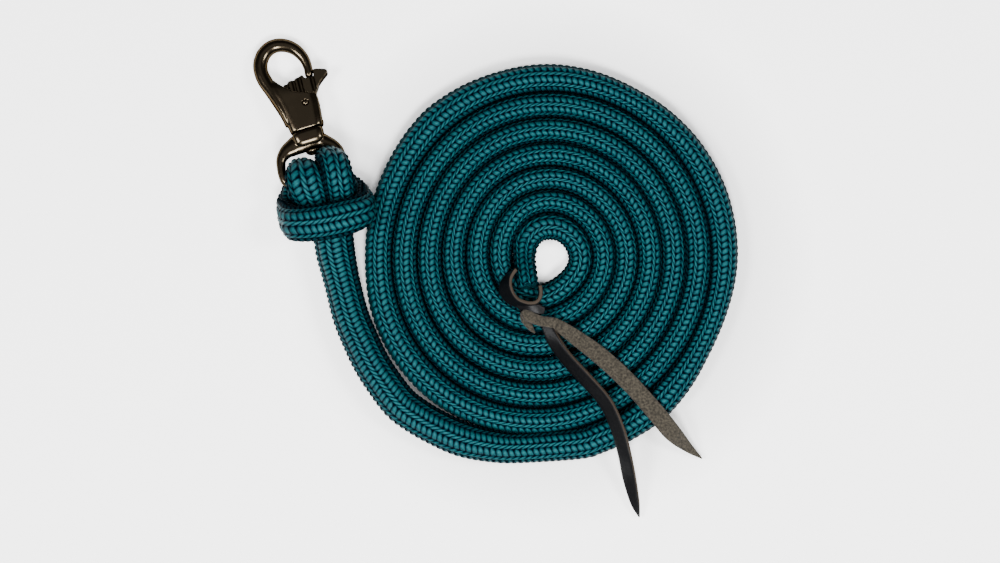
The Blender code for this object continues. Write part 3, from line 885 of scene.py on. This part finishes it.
@dataclass
class Snap:
    """Trigger snap: hook and two-cheek housing, trigger, pins and spring."""
    lie: Lie
    metal: MetalFinish = field(default_factory=MetalFinish)
    pocket: float = 3.7
    trigger_half: float = 3.45
    through: float = 9.0
    pin_bore: float = 1.8
    stop_bore: float = 1.75
    stud_bore: float = 2.5
    pivot: tuple[float, float] = (-4.4, 19.2)
    stop: tuple[float, float] = (4.2, 15.2)

    def put(self, verts: Array) -> Array:
        """Points of the snap's own frame, in the part's frame."""
        return transformed(verts, self.lie.snap())

    def hook(self) -> Shape:
        """Hook from the foot of the spine over the top to the nose, as an elliptic sweep."""
        rows = spline([(-8.6, 6.0, 2.8, 4.8), (-9.6, 12.0, 2.8, 5.4), (-10.8, 18.0, 3.2, 5.6),
                       (-12.0, 24.0, 3.7, 5.2), (-13.3, 30.0, 4.2, 4.7), (-14.9, 35.5, 4.4, 4.3),
                       (-15.7, 40.9, 4.25, 4.2), (-14.7, 46.6, 4.3, 4.1), (-10.8, 51.9, 4.3, 4.0),
                       (-4.8, 54.5, 4.2, 3.9), (1.6, 53.3, 4.0, 3.8), (7.3, 48.9, 3.6, 3.4),
                       (10.6, 42.5, 3.1, 3.0), (11.4, 36.4, 2.6, 2.7), (10.8, 31.8, 2.4, 2.5),
                       (10.7, 30.3, 1.7, 1.8)], 8)
        path = np.column_stack([rows[:, :2], np.zeros(len(rows))])
        return capped_tube(sweep(path, rows[:, 2], rows[:, 3], 32))

    def housing(self) -> Shape:
        """Two-cheek housing as a loft: at each height a squarish superellipse whose left and
        right sides follow the outline and whose thickness swells towards the middle."""
        rows = spline([(0.1, -9.0, 9.9, 5.4), (0.9, -9.6, 10.5, 6.0), (3.3, -10.0, 11.1, 6.2),
                       (7.2, -10.5, 11.7, 6.3), (14.0, -11.5, 12.5, 6.3), (19.0, -12.6, 12.7, 6.2),
                       (24.0, -13.8, 12.4, 6.1), (30.0, -15.1, 9.8, 5.4),
                       (33.0, -15.4, 2.0, 4.0), (34.0, -14.6, -8.0, 2.6)], 5)
        height, left, right, thick = (rows[:, k:k + 1] for k in range(4))
        t = np.linspace(0, 2 * np.pi, 64, endpoint=False)
        rings = np.stack([0.5 * (left + right)
                          + 0.5 * (right - left) * signed_power(np.cos(t), 0.5),
                          np.repeat(height, len(t), axis=1),
                          -thick * signed_power(np.sin(t), 0.62)], axis=-1)
        return capped_tube(rings)

    def body(self, material: Material) -> Object:
        """Fuse the hook and the housing, and cut the trigger's pocket and the holes."""
        base = scratch("snap_body_cast", *self.hook())
        shell = scratch("snap_shell", *self.housing())
        rim = scratch("snap_rim", *plate([(40, 60), (-10.2, 60), (-10.2, 36.0), (-9.4, 33.2),
                                          (-8.0, 31.0), (-5.6, 28.2), (-3.2, 25.8), (-0.6, 23.6),
                                          (2.6, 21.9), (7.0, 20.5), (11.0, 19.5), (14.0, 19.0),
                                          (40, 18.0)], -20, 20))
        pocket = scratch("snap_pocket", *plate([(-6.5, 5.2), (0.0, 3.2), (30.0, 3.2), (30.0, 26.0),
                                                (1.0, 28.5), (-5.0, 38.0), (-6.9, 29.4),
                                                (-9.1, 25.0), (-9.5, 19.5), (-8.8, 12.0)],
                                               -self.pocket, self.pocket))
        combine(shell, rim, "DIFFERENCE")
        cut_shell = linked("snap_shell_cut", apply_modifiers(shell))
        bpy.data.objects.remove(rim, do_unlink=True)
        pin = scratch("pin_hole", *self.bore(self.pivot, self.pin_bore, 5.2))
        stop = scratch("stop_hole", *self.bore(self.stop, self.stop_bore, self.through))
        stud = scratch("stud_hole", *drill((0, -3, 0), (0, 4.6, 0), self.stud_bore))
        mesh = fuse(base, [cut_shell], [pocket, pin, stop, stud], voxel=0.3, smooth=4)
        move_mesh(mesh, self.lie.snap())
        return add_piece("snap_hook_body", mesh, "snap", material, ["snap_body"])

    def bore(self, place: Sequence[float], radius: float, top: float) -> Shape:
        """Cylinder square to the snap's face, from below its back up to the given height."""
        return drill((*place, -self.through), (*place, top), radius)

    def trigger(self, material: Material) -> Object:
        """Trigger plate with a scalloped gate, flutes down its faces and a thumb tab."""
        outline = [(-8.8, 19.4), (-8.3, 22.4), (-7.2, 25.4), (-5.9, 28.4), (-4.9, 29.5),
                   (-3.6, 29.5), (-2.9, 29.9), (-2.2, 30.5), (-0.9, 30.9), (0.4, 30.8),
                   (1.2, 30.6), (2.4, 31.2), (4.0, 31.7), (5.6, 32.1), (7.0, 32.0), (7.7, 30.4),
                   (8.2, 29.8), (13.3, 29.8), (13.6, 33.4), (15.2, 33.5), (18.5, 32.5),
                   (21.1, 31.4), (21.8, 30.1), (21.2, 29.0), (17.7, 26.5), (14.6, 24.0),
                   (12.4, 20.6), (10.4, 17.0), (8.6, 12.6), (4.4, 9.2), (1.4, 8.2), (-0.9, 9.0),
                   (-2.9, 10.6), (-4.8, 12.4), (-6.6, 14.4), (-8.0, 16.4), (-8.7, 18.2)][::-1]
        base = scratch("trigger_plate", *plate(outline, -self.trigger_half, self.trigger_half))
        grooves = []
        for u, radius in ((-3.2, 1.05), (0.9, 1.05), (4.6, 1.3), (12.0, 1.3)):
            for face in (-1, 1):
                groove = drill((u - 0.6, 16.0, face * 3.9), (u + 0.2, 36.0, face * 3.4), radius, 16)
                grooves.append(scratch("flute", *groove))
        bore = scratch("trigger_bore", *self.bore(self.pivot, self.pin_bore, self.through))
        seat = scratch("trigger_seat", *self.bore(self.pivot, 3.7, -0.1))
        mesh = fuse(base, [], grooves + [bore, seat, self.slot()], voxel=0.25, smooth=3)
        move_mesh(mesh, self.lie.snap())
        return add_piece("trigger_gate", mesh, "trigger", material, ["trigger"])

    def slot(self) -> Object:
        """Arc slot for the stop rivet, as a bent round-ended bar, a little longer than the
        trigger's 35 degrees of travel."""
        arm = np.array(self.stop) - np.array(self.pivot)
        a = math.atan2(arm[1], arm[0]) + np.radians(np.linspace(-2, 37, 12))
        r = np.hypot(*arm)
        path = np.column_stack([self.pivot[0] + r * np.cos(a), self.pivot[1] + r * np.sin(a),
                                np.zeros(len(a))])
        return scratch("trigger_slot",
                       *capped_tube(sweep(path, 1.85, self.through, 24, power=8.0)))

    def pins(self, material: Material, steel: Material) -> None:
        """Pivot pin, domed stop rivet and torsion spring."""
        rivet = [(0.35, -6.55), (1.0, -6.5), (1.4, -6.2), (1.45, -5.8), (1.45, 5.7), (1.5, 6.1),
                 (1.5, 6.35), (1.2, 6.6), (0.6, 6.75), (0.15, 6.8)]
        pin = [(0.4, -6.3), (1.2, -6.2), (1.5, -5.9), (1.5, 4.6), (1.2, 4.9), (0.3, 4.9)]
        for name, profile, place, node in (
                ("stop_rivet", rivet, self.stop, "trigger_stop_rivet"),
                ("pivot_pin", pin, self.pivot, "trigger_pivot_pin")):
            verts, quads, tris = lathe(profile)
            mesh = make_mesh(name, self.put(verts + [*place, 0]), quads, tris)
            add_piece(name, mesh, "snap", material, [node])
        radius, wire, turns, pitch = 2.85, 0.35, 2.5, 0.72
        a = np.linspace(0, 2 * np.pi * turns, 100)
        path = np.column_stack([self.pivot[0] + radius * np.cos(a),
                                self.pivot[1] + radius * np.sin(a),
                                -2.65 + pitch * a / (2 * np.pi)])
        verts, quads, tris = capped_tube(sweep(path, wire, wire, 12))
        mesh = make_mesh("torsion_spring", self.put(verts), quads, tris)
        add_piece("torsion_spring", mesh, "snap", steel, ["trigger_spring"])

    def make(self) -> None:
        """Build every piece of the snap."""
        metal = self.metal.build()
        steel = MetalFinish("spring_wire", (0.45, 0.45, 0.46), 0.3).build()
        self.body(metal)
        self.trigger(metal)
        self.pins(metal, steel)


@dataclass
class Swivel:
    """Swivel bow with its drilled crown, and the stud that the snap turns on."""
    lie: Lie
    metal: MetalFinish = field(default_factory=lambda: MetalFinish("gunmetal_swivel"))

    def ring(self) -> tuple[Array, Array]:
        """Closed loop of the bow: straight bar, bulged sides, and a broad flat crown.

        Returns:
            Vertices and quads.
        """
        side = [(14.4, 0.2, 2.6, 2.6), (16.6, 1.9, 2.6, 2.6), (17.7, 6.0, 2.6, 2.6),
                (17.8, 11.0, 2.7, 2.65)]
        rows = [(-12.0, 0.0, 2.5, 2.5), (0.0, 0.0, 2.5, 2.5), (12.0, 0.0, 2.5, 2.5)] + side
        rows += [(16.8, 15.6, 2.9, 2.75), (13.9, 19.1, 3.4, 2.9), (10.1, 21.4, 4.2, 3.3),
                 (5.7, 23.5, 5.0, 4.0), (0.0, 23.7, 5.9, 4.6), (-5.6, 22.7, 6.1, 4.0),
                 (-9.9, 21.0, 5.3, 3.4), (-13.9, 18.9, 4.2, 3.0), (-17.0, 15.2, 3.1, 2.8)]
        rows += [(-u, v, a, b) for u, v, a, b in reversed(side)]
        loop = spline(rows, 8, closed=True)
        path = np.column_stack([loop[:, :2], np.zeros(len(loop))])
        rings = sweep(path, loop[:, 2], loop[:, 3], 28, closed=True)
        return rings.reshape(-1, 3), grid_faces(*rings.shape[:2], wrap_rows=True)

    def make(self) -> None:
        """Build the bow and the stud."""
        metal = self.metal.build()
        snap_in_bow = self.lie.bow().inverted() @ self.lie.snap()
        base = scratch("bow_cast", *self.ring())
        rows = spline([(-9.6, 6.2, 3.4), (-8.6, 7.6, 4.6), (-7.0, 8.6, 5.6), (-5.0, 9.0, 6.0),
                       (-2.4, 9.4, 6.1), (-0.9, 9.2, 5.8), (-0.4, 8.6, 5.2)], 4)
        path = np.column_stack([np.zeros(len(rows)), rows[:, 0], np.zeros(len(rows))])
        crown = capped_tube(sweep(path, rows[:, 1], rows[:, 2], 48, power=4.0))
        hole = drill((0, 4, 0), (0, -14, 0), 2.5)
        boss, bore = (scratch(name, transformed(verts, snap_in_bow), *faces)
                      for name, (verts, *faces) in (("bow_boss", crown), ("bow_bore", hole)))
        mesh = fuse(base, [boss], [bore], voxel=0.3, smooth=4)
        move_mesh(mesh, self.lie.bow())
        add_piece("swivel_ring", mesh, "bow", metal, ["swivel_bow"])
        verts, quads, tris = lathe([(0.3, -15.0), (2.0, -14.8), (3.4, -14.1), (4.2, -13.1),
                                    (4.4, -12.4), (4.0, -12.1), (2.2, -12.1), (2.2, 3.9),
                                    (1.8, 4.3), (0.3, 4.3)])
        turn = Matrix.Rotation(math.radians(-90), 4, "X")
        mesh = make_mesh("swivel_post", transformed(verts, self.lie.snap() @ turn), quads, tris)
        add_piece("swivel_post", mesh, "snap", metal, ["swivel_stud"])


# ---- leather

@dataclass
class Strap:
    """A strip of leather carried along a route, with softly rounded cut edges."""
    name: str
    rows: list[tuple[float, ...]]
    thickness: float
    node: str
    slot: str
    sides: int = 40
    edge_from: float = 0.88
    edge_run: float = 0.06

    def make(self, material: Material) -> Object:
        """Build the strip: a squarish superellipse section, as wide as the row says, turned
        about the route by the row's bank angle.

        Args:
            material: the strip's finish.

        Returns:
            The strip's object.
        """
        rows = spline(self.rows, 10)
        path = rows[:, :3]
        tangent = tangents(path)
        n, side = across(tangent, UP)
        bank = np.radians(rows[:, 4:5])
        up = n * np.cos(bank) + side * np.sin(bank)
        rings = sweep(path, rows[:, 3] / 2, self.thickness / 2, self.sides, up, power=5.0)
        mesh = make_mesh(self.name, *capped_tube(rings))
        t = np.linspace(0, 2 * np.pi, self.sides, endpoint=False)
        cut = np.clip((np.abs(np.cos(t)) - self.edge_from) / self.edge_run, 0, 1)
        point_values(mesh, "edge", np.concatenate([np.tile(cut, len(path)), [1.0, 1.0]]))
        return add_piece(self.name, mesh, "rope", material,
                         [self.node] if self.node else [])


@dataclass
class Popper:
    """Leather popper: collar round the rope's end, slit knot and two tails."""
    top: float = 14.9

    def make(self) -> None:
        """Build the popper's strips, each along rows of x, y, z, width and bank."""
        grain, suede = GRAIN.build(), SUEDE.build()
        t = self.top
        collar = [(12.4, 5.4, 18.6, 6.0, 90), (9.6, 2.6, 18.6, 7.6, 78),
                  (7.2, -1.0, 18.2, 9.8, 62), (6.2, -5.2, 18.0, 11.2, 52),
                  (7.8, -9.8, 17.9, 11.0, 52), (12.0, -13.6, 18.0, 9.4, 58),
                  (17.8, -15.0, 18.2, 7.8, 70), (22.8, -14.4, 18.6, 7.0, 84),
                  (25.4, -12.2, 18.8, 6.4, 92), (26.6, -8.6, 19.0, 6.0, 92),
                  (26.2, -4.0, 19.0, 5.0, 92)]
        fold = [(12.8, -13.6, t + 1.2, 3.0, 20), (16.0, -16.0, t + 2.2, 6.0, 30),
                (20.0, -17.4, t + 2.8, 7.0, 25), (24.6, -18.0, t + 2.6, 6.6, 10),
                (28.6, -18.8, t + 1.6, 4.0, 0)]
        flap = [(17.6, -19.4, t + 3.0, 5.0, 0), (17.4, -22.6, t + 2.8, 5.6, -10),
                (19.0, -26.0, t + 2.0, 4.6, -15), (21.2, -29.4, t + 1.4, 2.8, -10),
                (23.2, -31.8, t + 1.2, 0.8, 0)]
        knot = [(15.8, -19.4, t + 3.4, 3.0, -20), (18.4, -21.2, t + 3.8, 6.2, -16),
                (22.4, -23.2, t + 4.2, 6.2, -8), (27.0, -24.8, t + 4.4, 6.0, 4),
                (31.6, -25.4, t + 4.0, 6.0, 8), (35.6, -26.4, t + 3.0, 6.6, 4)]
        suede_tail = [(32.6, -25.0, t + 2.6, 5.6, 0), (38.6, -28.4, t + 2.2, 7.4, -2),
                      (46.8, -34.2, t + 1.4, 9.0, -4), (58.5, -42.8, t + 1.2, 10.2, -4),
                      (70.2, -52.9, t + 1.1, 10.5, -4), (81.9, -64.6, t + 1.0, 10.4, -2),
                      (93.8, -78.2, t + 1.0, 10.6, 0), (103.6, -90.0, 12.6, 10.4, 0),
                      (113.0, -99.0, 6.4, 6.0, 0), (121.6, -105.8, 2.2, 0.8, 0)]
        grain_tail = [(30.0, -27.0, t + 1.8, 6.0, 10), (34.4, -36.2, t + 2.8, 8.4, 30),
                      (41.2, -46.0, t + 3.6, 9.2, 40), (52.6, -58.5, t + 4.0, 9.6, 42),
                      (64.4, -72.3, t + 4.0, 9.6, 42), (71.7, -88.3, t + 3.8, 9.2, 40),
                      (75.8, -103.3, t + 1.8, 8.6, 36), (78.7, -117.0, 10.2, 8.2, 30),
                      (82.2, -131.5, 5.0, 5.4, 24), (84.9, -140.0, 2.2, 0.8, 10)]
        for name, rows, thickness, node, leather in (
                ("popper_collar_strap", collar, 2.6, "popper_collar", grain),
                ("popper_fold", fold, 3.2, "", grain),
                ("popper_flap", flap, 1.8, "", suede),
                ("popper_knot_strap", knot, 2.4, "popper_knot", suede),
                ("popper_suede_tail", suede_tail, 2.0, "popper_tail_suede", suede),
                ("popper_grain_tail", grain_tail, 2.8, "popper_tail_grain", grain)):
            slot = "grain_leather" if leather is grain else "suede_leather"
            Strap(name, rows, thickness, node, slot).make(leather)


# ---- studio

@dataclass
class Studio:
    """Plain pale floor, soft overhead light and a camera looking straight down."""
    middle: tuple[float, float] = (0.0029, -0.00175)
    height: float = 1.5
    subject_z: float = 0.012
    view_width: float = 0.585
    sensor: float = 36.0
    floor_half: float = 3000.0

    def camera(self) -> None:
        """Place the camera over the coil."""
        data = bpy.data.cameras.new("camera")
        data.sensor_width = self.sensor
        data.lens = self.sensor * self.height / self.view_width
        data.clip_start = 0.05
        cam = linked("camera", data)
        cam.location = (*self.middle, self.height + self.subject_z)
        bpy.context.scene.camera = cam

    def area(self, name: str, place: Sequence[float], size: float, watts: float) -> None:
        """Add one square soft light aimed at the part's origin."""
        data = bpy.data.lights.new(name, "AREA")
        data.size = size
        data.energy = watts
        lamp = linked(name, data)
        lamp.location = place
        lamp.rotation_euler = (-Vector(place)).to_track_quat("-Z", "Y").to_euler()

    def make(self) -> None:
        """Build the floor, the lights and the sky."""
        corners = self.floor_half * np.array([(-1, -1, 0), (1, -1, 0), (1, 1, 0), (-1, 1, 0)])
        mesh = make_mesh("studio_floor", corners, np.array([[0, 1, 2, 3]]))
        floor = linked("studio_floor", mesh)
        mesh.materials.append(FloorFinish().build())
        self.area("key_light", (0.1, -0.95, 1.65), 0.55, 70.0)
        self.area("left_light", (-1.15, -0.2, 1.45), 0.5, 36.0)
        self.area("right_light", (1.15, 0.1, 1.45), 0.5, 30.0)
        self.area("sheen_light", (-0.25, 0.62, 1.75), 1.1, 1.6)
        world = bpy.data.worlds.new("studio_sky")
        world.use_nodes = True
        sky = world.node_tree.nodes["Background"]
        sky.inputs["Color"].default_value = (1, 1, 1, 1)
        sky.inputs["Strength"].default_value = 0.08
        bpy.context.scene.world = world


def main() -> None:
    """Build the studio and every piece, in order."""
    logging.basicConfig(level=logging.INFO, format="%(name)s %(message)s")
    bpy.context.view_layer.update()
    studio = Studio()
    studio.camera()
    braid = BraidFinish().build()
    lie = Lie()
    Popper().make()
    Lead().make(braid)
    Hitch(lie).make(braid)
    Swivel(lie).make()
    Snap(lie).make()
    studio.make()


if __name__ == "__main__":
    main()
